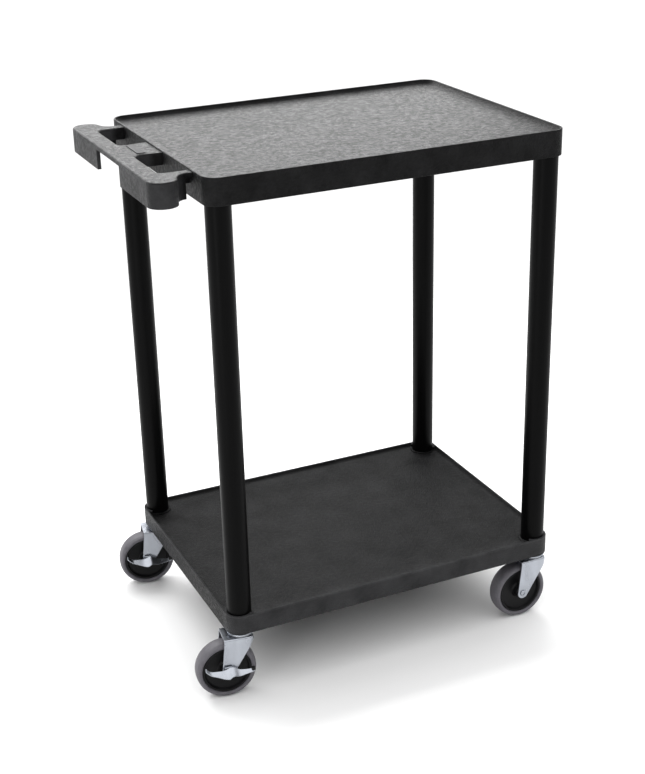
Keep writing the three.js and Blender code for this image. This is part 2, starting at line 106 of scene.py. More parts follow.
class CartHandleSettings(bpy.types.PropertyGroup):
    reach: length("Reach", 76.0, "How far the handle stands out from the shelf")
    drop: length("Drop", 2.5, "How far the handle's top lies below the rim")
    plate: length("Plate", 7.0, "Thickness of the handle's plate")
    depth: length("Depth", 39.0, "Depth of the handle's skirt")
    skirt: length("Skirt", 6.0, "Thickness of the handle's skirt")
    lobe: length("Lobe radius", 23.5, "Radius of the round lobe at each end")
    lobe_place: length("Lobe place", 185.0, "Distance of the lobes from the middle")
    neck: length("Neck radius", 20.0, "Radius of the hollow between lobe and shelf")
    neck_place: length("Neck place", 171.5, "Half width of the handle at its necks")
    grip: length("Grip width", 31.5, "Width of the bar that the hand holds")
    bridge: length("Bridge width", 76.0, "Width of the bridge between the hand holes")
    hole: length("Hand hole", 114.0, "Length of each hand hole")
    hole_corner: length("Hand hole corner", 9.0, "Radius of the hand holes' outer corners")
    flange: length("Flange", 5.0, "Thickness of the walls round the hand holes")
    flange_depth: length("Flange depth", 19.5, "Depth of the walls round the hand holes")
    notch: length("Notch", 115.0, "Width of the gap in the skirt's middle")
    slot: length("Slot", 11.0, "Gap between the skirt's ends and the shelf")
    top_round: length("Top rounding", 5.0, "Rounding of the outer top edge")
    hole_round: length("Hole rounding", 4.2, "Rounding of the hand holes' top edges")


class CartLegSettings(bpy.types.PropertyGroup):
    radius: length("Leg radius", 20.1, "Outer radius of the legs")
    wall: length("Leg wall", 2.5, "Wall of the leg tubes")


class CartCasterSettings(bpy.types.PropertyGroup):
    wheel: length("Wheel radius", 50.8, "Outer radius of the tyre")
    tyre_inner: length("Tyre inner radius", 41.3, "Radius at which the tyre meets the hub")
    tyre_half: length("Tyre half width", 14.5, "Half the tyre's width")
    rim_half: length("Rim half width", 12.5, "Half the width of the hub's rim")
    trail: length("Trail", 28.0, "Distance of the axle behind the swivel axis")
    fork_top: length("Fork top", 113.0, "Height of the fork's crown")
    fork_half: length("Fork half width", 21.5, "Half the fork's outer width")
    fork_sheet: length("Fork sheet", 2.5, "Thickness of the fork's sheet metal")
    fork_rear: length("Fork rear", 32.0, "How far the crown reaches behind the swivel axis")
    fork_nose: length("Fork nose", 19.0, "How far the crown reaches ahead of the swivel axis")
    fork_corner: length("Fork corner", 9.0, "Radius of the crown's front corners")
    fork_eye: length("Fork eye", 9.5, "Radius of the cheeks' lower ends")
    pedal_rear: length("Pedal rear", 39.0, "Reach of the pedal's curled end")
    pedal_front: length("Pedal front", 43.5, "Reach of the pedal's front end")
    pedal_inner: length("Pedal inner edge", 24.5, "Distance of the pedal from the wheel's middle plane")
    pedal_tip: length("Pedal tip", 4.0, "Width of the pedal's ends")
    pedal_flare: length("Pedal flare", 8.4, "How much wider the pedal is by the axle")
    pedal_ridge: length("Pedal ridge", 5.0, "How far ahead of the axle the pedal's ridge lies")
    pedal_sheet: length("Pedal sheet", 2.0, "Thickness of the pedal's sheet metal")


class CartFinishSettings(bpy.types.PropertyGroup):
    plastic: colour("Plastic", (0.0045, 0.0045, 0.0047), "Moulded shelves and handle")
    tube: colour("Tube", (0.0012, 0.0012, 0.0013), "Legs")
    zinc: colour("Zinc", (0.39, 0.41, 0.45), "Zinc-plated forks, races, bolts and pedals")
    steel: colour("Steel", (0.35, 0.36, 0.38), "Stems, ball rings and sleeves")
    tyre: colour("Tyre", (0.092, 0.088, 0.100), "Grey rubber tyres")
    hub: colour("Hub", (0.0045, 0.0045, 0.005), "Black wheel hubs")
    rubber: colour("Rubber", (0.006, 0.006, 0.006), "Pads on the brake pedals")
    label: colour("Label", (0.016, 0.016, 0.017), "Blank label on the handle's bridge")
    nylon: colour("Nylon", (0.02, 0.02, 0.02), "Sockets inside the legs")


class CartStageSettings(bpy.types.PropertyGroup):
    floor: colour("Floor", (0.86, 0.86, 0.86), "Pale floor")
    sky: FloatProperty(name="Sky", description="Strength of the even light from above", default=0.14, min=0.0)
    horizon: FloatProperty(name="Horizon", description="Strength of the bright band at eye level", default=1.0, min=0.0)
    overhead: FloatProperty(name="Overhead", description="Strength of the wide light overhead", default=3.7, min=0.0)
    back_light: FloatProperty(name="Back light", description="Power of the strip behind the deck", default=46.0, min=0.0)
    side_light: FloatProperty(name="Side light", description="Power of the soft light at the side", default=8.0)
    lens: FloatProperty(name="Lens", description="Focal length in millimetres", default=68.59)
    bearing: FloatProperty(
        name="Bearing", description="Turn of the camera round the cart", default=math.radians(-24.27), subtype="ANGLE"
    )
    tilt: FloatProperty(
        name="Tilt", description="Camera's angle above the horizon", default=math.radians(23.24), subtype="ANGLE"
    )
    roll: FloatProperty(name="Roll", description="Camera's roll", default=math.radians(-1.44), subtype="ANGLE")
    camera: FloatVectorProperty(
        name="Camera",
        description="Place of the camera, from the floor under the shelves' middle",
        default=(-0.99965, -2.1533, 1.4365),
        size=3,
        subtype="XYZ",
    )


# ---------------------------------------------------------------- places from the CAD frame


def cad_box(node):
    """Lowest and highest corner of a CAD node, in millimetres."""
    low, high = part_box(node)
    return Vector(low) / MM, Vector(high) / MM


def cad_axis(node):
    """The upright axis of a CAD node, at height zero, in millimetres."""
    low, high = cad_box(node)
    return Vector(((low.x + high.x) / 2, (low.y + high.y) / 2, 0))


def joint(name):
    return next(made for made in frame["joints"] if made["name"] == name)


def caster_place(place):
    """Puts a caster's own frame, with its swivel axis on Z, where that caster stands."""
    spot = cad_axis(f"upper_race_{place}")
    axle = joint(f"wheel_spin_{place}")["axis"]
    return Matrix.Translation(spot) @ Matrix.Rotation(math.atan2(-axle[0], axle[1]), 4, "Z")


def axle_place(place, size):
    """Puts a shape turned about Z onto that caster's axle."""
    onto_axle = Matrix.Translation((-size.trail, 0, size.wheel)) @ Matrix.Rotation(math.radians(-90), 4, "X")
    return caster_place(place) @ onto_axle


# ---------------------------------------------------------------- shapes


class Outline:
    """A flat outline, drawn by extruding and spinning its last point."""

    def __init__(self, x, y):
        self.bm = bmesh.new()
        self.point = bmesh.ops.create_vert(self.bm, co=(x, y, 0))["vert"][0]

    def line(self, x, y):
        made = bmesh.ops.extrude_vert_indiv(self.bm, verts=[self.point])
        self.point = made["verts"][0]
        self.point.co = (x, y, 0)
        return self

    def arc(self, x, y, degrees, steps=10):
        made = bmesh.ops.spin(
            self.bm,
            geom=[self.point],
            cent=(x, y, 0),
            axis=(0, 0, 1),
            angle=math.radians(degrees),
            steps=steps,
            use_merge=False,
        )
        self.point = next(part for part in made["geom_last"] if isinstance(part, bmesh.types.BMVert))
        return self

    def mirror(self, axis):
        bmesh.ops.mirror(self.bm, geom=self.bm.verts[:] + self.bm.edges[:], merge_dist=0.001, axis=axis)
        return self

    def slab(self, low, high):
        """Fills the outline and gives it its thickness."""
        bmesh.ops.remove_doubles(self.bm, verts=self.bm.verts, dist=0.001)
        bmesh.ops.contextual_create(self.bm, geom=self.bm.edges[:])
        thicken(self.bm, low, high)
        return self.bm


def thicken(bm, low, high):
    bmesh.ops.translate(bm, verts=bm.verts, vec=(0, 0, low))
    made = bmesh.ops.extrude_face_region(bm, geom=bm.faces[:])
    upper = [part for part in made["geom"] if isinstance(part, bmesh.types.BMVert)]
    bmesh.ops.translate(bm, verts=upper, vec=(0, 0, high - low))
    bmesh.ops.recalc_face_normals(bm, faces=bm.faces)


def upright(bm):
    """Stands a shape drawn in X and Y up, so that its Y becomes height and its thickness runs along -Y."""
    bmesh.ops.rotate(bm, verts=bm.verts, cent=(0, 0, 0), matrix=Matrix.Rotation(math.radians(90), 3, "X"))
    return bm


def rounded_rectangle(length_x, length_y, radius, low, high, steps=6):
    x = length_x / 2
    y = length_y / 2
    outline = Outline(x, radius - y)
    outline.line(x, y - radius).arc(x - radius, y - radius, 90, steps)
    outline.line(radius - x, y).arc(radius - x, y - radius, 90, steps)
    outline.line(-x, radius - y).arc(radius - x, radius - y, 90, steps)
    outline.line(x - radius, -y).arc(x - radius, radius - y, 90, steps)
    return outline.slab(low, high)


def block(low, high):
    bm = bmesh.new()
    bmesh.ops.create_cube(bm, size=1.0)
    size = Vector(high) - Vector(low)
    bmesh.ops.scale(bm, verts=bm.verts, vec=size)
    bmesh.ops.translate(bm, verts=bm.verts, vec=(Vector(high) + Vector(low)) / 2)
    return bm


def turned(corners, steps=64, rounding=0.0, segments=3):
    """Turns a profile of (radius, height) corners about Z, with its corners rounded first."""
    bm = bmesh.new()
    points = [bm.verts.new((radius, 0, height)) for radius, height in corners]
    closed = corners[0][0] > 0
    for index, point in enumerate(points[1:]):
        bm.edges.new((points[index], point))
    if closed:
        bm.edges.new((points[-1], points[0]))
    if rounding:
        inner = points if closed else points[1:-1]
        bevel(bm, inner, rounding, segments, "VERTICES")
    bmesh.ops.spin(
        bm,
        geom=bm.verts[:] + bm.edges[:],
        cent=(0, 0, 0),
        axis=(0, 0, 1),
        angle=2 * math.pi,
        steps=steps,
        use_merge=True,
    )
    bmesh.ops.remove_doubles(bm, verts=bm.verts, dist=0.001)
    bmesh.ops.recalc_face_normals(bm, faces=bm.faces)
    return bm


def bevel(bm, geometry, offset, segments, affect="EDGES"):
    return bmesh.ops.bevel(
        bm,
        geom=geometry,
        offset=offset,
        offset_type="OFFSET",
        segments=segments,
        profile=0.5,
        affect=affect,
        material=-1,
        clamp_overlap=True,
    )


def creases(bm, test, angle=30):
    """The sharp edges whose middle passes a test."""
    found = []
    for edge in bm.edges:
        sharp = len(edge.link_faces) == 2 and edge.calc_face_angle(0) > math.radians(angle)
        if sharp and test((edge.verts[0].co + edge.verts[1].co) / 2):
            found.append(edge)
    return found


def step_face(bm, face, inset, rise):
    """Draws a face in by an inset and moves it along its normal."""
    bmesh.ops.inset_region(
        bm, faces=[face], thickness=inset, depth=rise, use_even_offset=True, use_boundary=True
    )


def face_towards(bm, direction):
    return max(bm.faces, key=lambda face: face.normal.dot(Vector(direction)) * (1 + face.calc_area()))


def joined(shapes):
    """One mesh out of several."""
    whole = bmesh.new()
    for shape in shapes:
        part = bpy.data.meshes.new("part")
        shape.to_mesh(part)
        shape.free()
        whole.from_mesh(part)
        bpy.data.meshes.remove(part)
    return whole


def carved(base, tools):
    """A shape after a list of (operation, shape) tools has worked on it."""
    made = []

    def stand_in(shape):
        mesh = bpy.data.meshes.new("stand_in")
        shape.to_mesh(mesh)
        shape.free()
        thing = bpy.data.objects.new("stand_in", mesh)
        bpy.context.scene.collection.objects.link(thing)
        made.append(thing)
        return thing

    body = stand_in(base)
    for operation, shape in tools:
        modifier = body.modifiers.new("carve", "BOOLEAN")
        modifier.operation = operation
        modifier.solver = "EXACT"
        modifier.object = stand_in(shape)
    bpy.context.view_layer.update()
    result = bmesh.new()
    result.from_object(body, bpy.context.evaluated_depsgraph_get())
    for thing in made:
        bpy.data.meshes.remove(thing.data)
    bmesh.ops.remove_doubles(result, verts=result.verts, dist=0.005)
    bmesh.ops.dissolve_limit(
        result, angle_limit=math.radians(0.5), verts=result.verts[:], edges=result.edges[:]
    )
    return result


def piece(bm, name, finish, body, nodes=(), place=None, edge=0.0, sharp=38, weighted=True):
    """Finishes a shape as a piece that rides on a CAD body and stands for CAD nodes."""
    if place is not None:
        bmesh.ops.transform(bm, matrix=place, verts=bm.verts)
    bmesh.ops.scale(bm, vec=(MM, MM, MM), verts=bm.verts)
    mesh = bpy.data.meshes.new(name)
    bm.to_mesh(mesh)
    bm.free()
    mesh.polygons.foreach_set("use_smooth", [True] * len(mesh.polygons))
    made = bpy.data.objects.new(name, mesh)
    bpy.context.scene.collection.objects.link(made)
    material, slot = finish
    mesh.materials.append(material)
    if edge:
        rounding = made.modifiers.new("edges", "BEVEL")
        rounding.width = edge * MM
        rounding.segments = 2
        rounding.limit_method = "ANGLE"
        rounding.angle_limit = math.radians(sharp)
        rounding.miter_outer = "MITER_ARC"
    else:
        mesh.set_sharp_from_angle(angle=math.radians(sharp))
    if weighted:
        normals = made.modifiers.new("normals", "WEIGHTED_NORMAL")
        normals.keep_sharp = True
    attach(made, body)
    if nodes:
        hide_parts(*nodes)
    return made


# ---------------------------------------------------------------- finishes


class Finish:
    """Builds one surface out of nodes."""

    def __init__(self, name, shade, roughness, metallic=0.0, specular=0.5):
        self.material = bpy.data.materials.new(name)
        self.material.use_nodes = True
        self.tree = self.material.node_tree
        self.shader = self.tree.nodes["Principled BSDF"]
        self.shader.inputs["Base Color"].default_value = (*shade, 1)
        self.shader.inputs["Roughness"].default_value = roughness
        self.shader.inputs["Metallic"].default_value = metallic
        self.shader.inputs["Specular IOR Level"].default_value = specular
        self.shade = shade
        self.roughness = roughness
        texture = self.tree.nodes.new("ShaderNodeTexCoord")
        self.coordinates = texture.outputs["Object"]
        self.normal = texture.outputs["Normal"]

    def link(self, start, end):
        self.tree.links.new(start, end)

    def stretched(self, scale):
        mapping = self.tree.nodes.new("ShaderNodeMapping")
        mapping.inputs["Scale"].default_value = scale
        self.link(self.coordinates, mapping.inputs["Vector"])
        return mapping.outputs["Vector"]

    def noise(self, scale, detail=4.0, distortion=0.0, stretch=None, roughness=0.55):
        made = self.tree.nodes.new("ShaderNodeTexNoise")
        made.inputs["Scale"].default_value = scale
        made.inputs["Detail"].default_value = detail
        made.inputs["Roughness"].default_value = roughness
        made.inputs["Distortion"].default_value = distortion
        self.link(self.stretched(stretch) if stretch else self.coordinates, made.inputs["Vector"])
        return made.outputs["Fac"]

    def spread(self, value, low, high, start=0.3, end=0.7):
        made = self.tree.nodes.new("ShaderNodeMapRange")
        made.inputs["From Min"].default_value = start
        made.inputs["From Max"].default_value = end
        made.inputs["To Min"].default_value = low
        made.inputs["To Max"].default_value = high
        self.link(value, made.inputs["Value"])
        return made.outputs["Result"]

    def part_of(self, vector, axis):
        made = self.tree.nodes.new("ShaderNodeSeparateXYZ")
        self.link(vector, made.inputs["Vector"])
        return made.outputs[axis]

    def product(self, first, second):
        made = self.tree.nodes.new("ShaderNodeMath")
        made.operation = "MULTIPLY"
        self.link(first, made.inputs[0])
        self.link(second, made.inputs[1])
        return made.outputs["Value"]

    def sum(self, first, second, share=1.0):
        made = self.tree.nodes.new("ShaderNodeMath")
        made.operation = "MULTIPLY_ADD"
        made.inputs[1].default_value = share
        self.link(second, made.inputs[0])
        self.link(first, made.inputs[2])
        return made.outputs["Value"]

    def tint(self, value, darker, lighter):
        made = self.tree.nodes.new("ShaderNodeMix")
        made.data_type = "RGBA"
        low = [channel * darker for channel in self.shade]
        high = [channel * lighter for channel in self.shade]
        made.inputs["A"].default_value = (*low, 1)
        made.inputs["B"].default_value = (*high, 1)
        self.link(value, made.inputs["Factor"])
        self.link(made.outputs["Result"], self.shader.inputs["Base Color"])
        return self

    def gloss(self, value, low, high):
        self.link(self.spread(value, low, high), self.shader.inputs["Roughness"])
        return self

    def relief(self, height, depth, strength=1.0):
        made = self.tree.nodes.new("ShaderNodeBump")
        made.inputs["Distance"].default_value = depth * MM
        made.inputs["Strength"].default_value = strength
        self.link(height, made.inputs["Height"])
        self.link(made.outputs["Normal"], self.shader.inputs["Normal"])
        return self


def shelf_plastic(shade):
    """Satin black plastic with a leathery grain and pale scuffs, plus painted light: a painted floor bounce on the
    lower shelf's front, a painted highlight along its lip, and a painted highlight on the handle's upright sides.
    """
    finish = Finish("shelf_plastic", shade, 0.42, specular=0.08)
    wrinkles = finish.noise(150, detail=6, roughness=0.7)
    grain = finish.noise(420, detail=4, roughness=0.7)
    patches = finish.noise(22, detail=4, roughness=0.6)
    scuffs = finish.spread(finish.sum(patches, wrinkles, 0.8), 0, 0.22, 0.72, 1.24)
    height = finish.part_of(finish.coordinates, "Z")
    # Painted light, not dirt: these masks paint the lower shelf's front lighter as painted bounce light from the floor,
    # most on its upright faces. They also paint a highlight along the top of its lip, and paint the handle's upright
    # sides lighter as a painted highlight.
    lower_shelf = finish.spread(height, 1, 0, 0.2, 0.3)
    front = finish.spread(finish.part_of(finish.coordinates, "Y"), 1, 0, -0.213, -0.187)
    handle = finish.spread(finish.part_of(finish.coordinates, "X"), 1, 0, -0.29, -0.28)
    sides = finish.spread(finish.part_of(finish.normal, "Z"), 0.42, 0.15, 0.1, 0.6)
    lip = finish.spread(height, 0, 0.3, 0.1520, 0.1535)
    painted_front_light = finish.product(finish.sum(finish.product(sides, front), lip), lower_shelf)
    painted_light = finish.sum(painted_front_light, finish.product(sides, handle))
    # The painted light is mottled by the patches and added to the real scuffs, and together they tint the base colour
    # lighter.
    finish.tint(finish.sum(scuffs, finish.product(painted_light, finish.spread(patches, 0.7, 1.3))), 0.5, 12)
    finish.gloss(finish.spread(wrinkles, 0.3, 0.7, 0.4, 0.6), 0.33, 0.53)
    finish.relief(finish.sum(wrinkles, grain, 0.7), 1.8, 1.0)
    return finish.material


def leg_tube(shade):
    """Smooth satin tube with faint drawing lines along it."""
    finish = Finish("leg_tube", shade, 0.35, specular=0.06)
    lines = finish.noise(60, detail=3, stretch=(6, 6, 0.15))
    grain = finish.noise(500, detail=2)
    finish.tint(finish.spread(lines, 0, 1), 0.8, 1.3)
    finish.gloss(lines, 0.28, 0.42)
    finish.relief(finish.sum(lines, grain, 0.5), 0.06, 0.5)
    return finish.material


def bright_zinc(shade):
    """Bright zinc with clouding and fine rolling lines."""
    finish = Finish("bright_zinc", shade, 0.3, metallic=1.0)
    clouds = finish.noise(45, detail=3, stretch=(1, 1, 0.4))
    fine = finish.noise(900, detail=2)
    finish.tint(finish.spread(clouds, 0, 1), 0.86, 1.12)
    finish.gloss(clouds, 0.24, 0.36)
    finish.relief(finish.sum(clouds, fine, 0.15), 0.05, 0.4)
    return finish.material


def turned_steel(shade):
    """Turned steel under a film of oil."""
    finish = Finish("turned_steel", shade, 0.35, metallic=1.0)
    lines = finish.noise(300, detail=3, stretch=(0.3, 0.3, 3))
    finish.tint(finish.spread(lines, 0, 1), 0.7, 1.1)
    finish.gloss(lines, 0.25, 0.45)
    finish.relief(lines, 0.05, 0.5)
    return finish.material


def tyre_rubber(shade):
    """Grey rubber, lightly scuffed and dusty."""
    finish = Finish("tyre_rubber", shade, 0.5, specular=0.4)
    scuffs = finish.noise(120, detail=5, distortion=0.5)
    fine = finish.noise(1200, detail=2)
    finish.tint(finish.spread(scuffs, 0, 1), 0.82, 1.18)
    finish.gloss(scuffs, 0.42, 0.62)
    finish.relief(finish.sum(scuffs, fine, 0.4), 0.12, 0.6)
    return finish.material


def hub_nylon(shade):
    """Moulded black nylon."""
    finish = Finish("hub_nylon", shade, 0.45, specular=0.15)
    grain = finish.noise(500, detail=4)
    patches = finish.noise(70, detail=3)
    finish.tint(finish.spread(patches, 0, 1), 0.8, 1.4)
    finish.gloss(patches, 0.36, 0.54)
    finish.relief(grain, 0.1, 0.6)
    return finish.material


def pad_rubber(shade):
    """Soft matt rubber."""
    finish = Finish("pad_rubber", shade, 0.75, specular=0.3)
    grain = finish.noise(900, detail=3)
    finish.tint(finish.spread(grain, 0, 1), 0.7, 1.5)
    finish.gloss(grain, 0.65, 0.85)
    finish.relief(grain, 0.1, 0.6)
    return finish.material


def blank_film(shade):
    """Blank grey film with a fine brushed look."""
    finish = Finish("blank_film", shade, 0.6, specular=0.15)
    lines = finish.noise(200, detail=3, stretch=(4, 0.3, 1))
    finish.tint(finish.spread(lines, 0, 1), 0.85, 1.2)
    finish.gloss(lines, 0.5, 0.7)
    finish.relief(lines, 0.02, 0.4)
    return finish.material


def socket_nylon(shade):
    """Plain moulded nylon."""
    finish = Finish("socket_nylon", shade, 0.55)
    grain = finish.noise(350, detail=3)
    finish.tint(finish.spread(grain, 0, 1), 0.8, 1.3)
    finish.gloss(grain, 0.48, 0.64)
    finish.relief(grain, 0.08, 0.5)
    return finish.material


FINISHES = {
    shelf_plastic: ("plastic", "moulded_plastic"),
    leg_tube: ("tube", "leg_plastic"),
    bright_zinc: ("zinc", "zinc_plate"),
    turned_steel: ("steel", "plain_steel"),
    tyre_rubber: ("tyre", "grey_rubber"),
    hub_nylon: ("hub", "hub_plastic"),
    pad_rubber: ("rubber", "black_rubber"),
    blank_film: ("label", "label_film"),
    socket_nylon: ("nylon", "nylon"),
}


def finish_for(context, maker):
    """A finish by its maker, made once, with the material slot it stands for."""
    shade, slot = FINISHES[maker]
    made = bpy.data.materials.get(maker.__name__)
    return made or maker(tuple(getattr(context.scene.cart_finish, shade))), slot


# ---------------------------------------------------------------- shelves


def tray(size, low, high):
    """A tray: rounded corners, a lip with a hollow fillet, a dished deck, and a hollow underside."""
    bm = block(low, high)
    upright_edges = [edge for edge in bm.edges if abs(edge.verts[0].co.z - edge.verts[1].co.z) > 1]
    bevel(bm, upright_edges, size.corner, 12)

    top = face_towards(bm, (0, 0, 1))
    step_face(bm, top, size.lip_width, 0)
    steps = 7
    for index in range(steps):
        start = math.radians(90 * index / steps)
        end = math.radians(90 * (index + 1) / steps)
        inset = size.lip_fillet * (math.cos(start) - math.cos(end))
        step_face(bm, top, inset, -size.lip_drop * (math.sin(end) - math.sin(start)))
    for inset, share in ((2.5, 0.34), (3, 0.3), (3, 0.22), (3, 0.14)):
        step_face(bm, top, inset, -size.deck_dish * share)

    under = face_towards(bm, (0, 0, -1))
    step_face(bm, under, size.wall, 0)
    step_face(bm, under, 0.4, low.z - (high.z - size.lip_drop - size.deck_dish - size.deck))

    bevel(bm, creases(bm, lambda middle: abs(middle.z - high.z) < 0.01), size.edge, 3)
    bevel(bm, creases(bm, lambda middle: abs(middle.z - low.z) < 0.01), 0.9, 2)
    return bm


def rib_bars(size, low, high, under_deck):
    """Ribs that divide the underside into equal bays."""
    centre = (low + high) / 2
    reach = (high - low) / 2 - Vector((size.wall, size.wall, 0)) / 2
    half = size.rib_width / 2
    bars = []
    bars.append(((centre.x - reach.x, centre.y - half), (centre.x + reach.x, centre.y + half)))
    for share in (-1 / 6, 1 / 6):
        x = centre.x + share * (high.x - low.x)
        bars.append(((x - half, centre.y - reach.y), (x + half, centre.y + reach.y)))
    shapes = []
    for near, far in bars:
        bar = block((*near, under_deck - size.rib_depth), (*far, under_deck + 1))
        bevel(bar, creases(bar, lambda middle: middle.z < under_deck - size.rib_depth + 0.01), 0.6, 2)
        shapes.append(bar)
    return joined(shapes)


class CART_OT_trays(bpy.types.Operator):
    """Builds the two tray shelves"""

    bl_idname = "cart.trays"
    bl_label = "Tray Shelves"

    def execute(self, context):
        size = InMillimetres(context.scene.cart_tray)
        finish = finish_for(context, shelf_plastic)
        low, high = cad_box("bottom_shelf")
        piece(tray(size, low, high), "bottom_tray", finish, "frame", ["bottom_shelf"])
        top_low, top_high = cad_box("top_shelf")
        top_low.x = low.x
        piece(tray(size, top_low, top_high), "top_tray", finish, "frame", ["top_shelf"])
        return {"FINISHED"}


class CART_OT_underside(bpy.types.Operator):
    """Builds the ribs and the leg sockets of both shelves"""

    bl_idname = "cart.underside"
    bl_label = "Ribs and Sockets"

    def execute(self, context):
        size = InMillimetres(context.scene.cart_tray)
        leg = InMillimetres(context.scene.cart_leg)
        finish = finish_for(context, shelf_plastic)
        depth = size.lip_drop + size.deck_dish + size.deck
        for node, name in (("bottom_shelf", "bottom"), ("top_shelf", "top")):
            low, high = cad_box(node)
            low.x = cad_box("bottom_shelf")[0].x
            piece(rib_bars(size, low, high, high.z - depth), f"{name}_ribs", finish, "frame")
            bore = leg.radius + 0.25
            outer = size.corner - 0.3
            base = low.z + 0.5
            if name == "bottom":
                collar = high.z - size.lip_drop - size.deck_dish + size.collar
                profile = [(bore, collar), (bore, base + 4.5), (6.1, base + 4.5), (6.1, base), (outer, base)]
                profile.append((outer, collar))
            else:
                roof = high.z - depth + 1
                profile = [(bore, roof), (bore, base), (outer, base), (outer, roof)]
            sockets = []
            for place in PLACES:
                socket = turned(profile, 72, 0.9)
                bmesh.ops.translate(socket, verts=socket.verts, vec=cad_axis(f"leg_{place}"))
                sockets.append(socket)
                if name == "bottom":
                    seat = turned([(bore, base + 5), (outer, base + 5), (outer, high.z - 0.6), (bore, high.z - 0.6)], 72)
                    corner = Vector((1 if "right" in place else -1, 1 if "rear" in place else -1, 0))
                    bmesh.ops.bisect_plane(
                        seat, geom=seat.verts[:] + seat.edges[:] + seat.faces[:], plane_no=corner, clear_inner=True
                    )
                    bmesh.ops.holes_fill(seat, edges=seat.edges)
                    bmesh.ops.recalc_face_normals(seat, faces=seat.faces)
                    bmesh.ops.translate(seat, verts=seat.verts, vec=cad_axis(f"leg_{place}"))
                    sockets.append(seat)
            piece(joined(sockets), f"{name}_sockets", finish, "frame")
        return {"FINISHED"}


# ---------------------------------------------------------------- handle


def handle_outline(size, inset, root):
    """The handle in plan, with the shelf's end at x 0 and the handle towards -X."""
    lobe_x = size.lobe - size.reach
    tilt = math.asin((size.neck_place + size.neck - size.lobe_place) / (size.lobe + size.neck))
    neck_x = lobe_x + (size.lobe + size.neck) * math.cos(tilt)
    neck_y = size.neck_place + size.neck
    neck = size.neck + inset
    start = math.acos((root - neck_x) / neck)
    sweep = math.degrees(math.pi - tilt - start)
    outline = Outline(root, 0)
    outline.line(root, neck_y - neck * math.sin(start))
    outline.arc(neck_x, neck_y, -sweep, 20)
    outline.arc(lobe_x, size.lobe_place, 180 - math.degrees(tilt), 32)
    outline.line(inset - size.reach, 0)
    return outline.mirror("Y")


def hand_hole(size, side, margin):
    """A hand hole in plan, drawn larger by a margin."""
    near = size.bridge / 2 - margin
    far = size.bridge / 2 + size.hole + margin
    corner = size.hole_corner + margin
    x = size.grip - size.reach - margin
    outline = Outline(0.5, near)
    outline.line(x + corner, near).arc(x + corner, near + corner, -90, 8)
    outline.line(x, far - corner).arc(x + corner, far - corner, -90, 8)
    outline.line(0.5, far).line(0.5, near)
    if side < 0:
        bmesh.ops.scale(outline.bm, vec=(1, -1, 1), verts=outline.bm.verts)
    return outline


def handle(size):
    """The moulded handle: a plate with a skirt, two hand holes with flanges, a notch and two slots."""
    under = -size.plate
    low = -size.depth
    plate = handle_outline(size, 0, 2.5).slab(low, 0)
    rim = creases(plate, lambda middle: middle.z > -0.01 and middle.x < 2)
    bevel(plate, rim, size.top_round, 6)
    tools = [("DIFFERENCE", handle_outline(size, size.skirt, 8).slab(low - 5, under))]
    for side in (-1, 1):
        flange = hand_hole(size, side, size.flange).slab(-size.flange_depth, under + 1)
        opening = hand_hole(size, side, 0).slab(-size.flange_depth - 1, 1)
        near, far = sorted((side * (size.neck_place - 14), side * (size.neck_place + 12)))
        slot = block((-size.slot, near, low - 1), (6, far, under))
        tools += [("UNION", flange), ("DIFFERENCE", opening), ("DIFFERENCE", slot)]
    notch = block((-size.reach - 1, -size.notch / 2, low - 1), (size.skirt - size.reach + 1, size.notch / 2, under))
    tools.append(("DIFFERENCE", notch))
    bm = carved(plate, tools)

    def at_hole(middle):
        return abs(middle.z) < 0.01 and size.grip - size.reach - 1 < middle.x < 0

    bevel(bm, creases(bm, at_hole), size.hole_round, 5)
    return bm


class CART_OT_handle(bpy.types.Operator):
    """Builds the handle at the end of the top shelf"""

    bl_idname = "cart.handle"
    bl_label = "Handle"

    def execute(self, context):
        size = InMillimetres(context.scene.cart_handle)
        low, high = cad_box("bottom_shelf")
        top = cad_box("top_shelf")[1].z
        place = Matrix.Translation((low.x, (low.y + high.y) / 2, top - size.drop))
        finish = finish_for(context, shelf_plastic)
        piece(handle(size), "handle", finish, "frame", ["top_shelf"], place, edge=0.9)
        return {"FINISHED"}


class CART_OT_label(bpy.types.Operator):
    """Builds the blank label on the handle's bridge"""

    bl_idname = "cart.label"
    bl_label = "Blank Label"

    def execute(self, context):
        low, high = cad_box("bridge_label")
        size = high - low
        label = rounded_rectangle(size.x, size.y, 2, low.z - 0.2, high.z)
        place = Matrix.Translation((*((low + high) / 2).xy, 0))
        piece(label, "blank_label", finish_for(context, blank_film), "frame", ["bridge_label"], place, edge=0.25)
        return {"FINISHED"}


# ---------------------------------------------------------------- legs


class CART_OT_legs(bpy.types.Operator):
    """Builds the four leg tubes and the sockets inside them"""

    bl_idname = "cart.legs"
    bl_label = "Legs"

    def execute(self, context):
        size = InMillimetres(context.scene.cart_leg)
        for place in PLACES:
            low, high = cad_box(f"leg_{place}")
            inner = size.radius - size.wall
            profile = [(inner, low.z), (size.radius, low.z), (size.radius, high.z), (inner, high.z)]
            tube = turned(profile, 96, 0.6)
            axis = Matrix.Translation(cad_axis(f"leg_{place}"))
            piece(tube, f"leg_tube_{place}", finish_for(context, leg_tube), "frame", [f"leg_{place}"], axis)
            node = f"stem_socket_{place}"
            low, high = cad_box(node)
            profile = [(5.8, low.z), (inner - 0.2, low.z), (inner - 0.2, high.z), (5.8, high.z)]
            socket = turned(profile, 48, 1.0)
            piece(socket, f"leg_plug_{place}", finish_for(context, socket_nylon), "frame", [node], axis)
        return {"FINISHED"}


# ---------------------------------------------------------------- casters


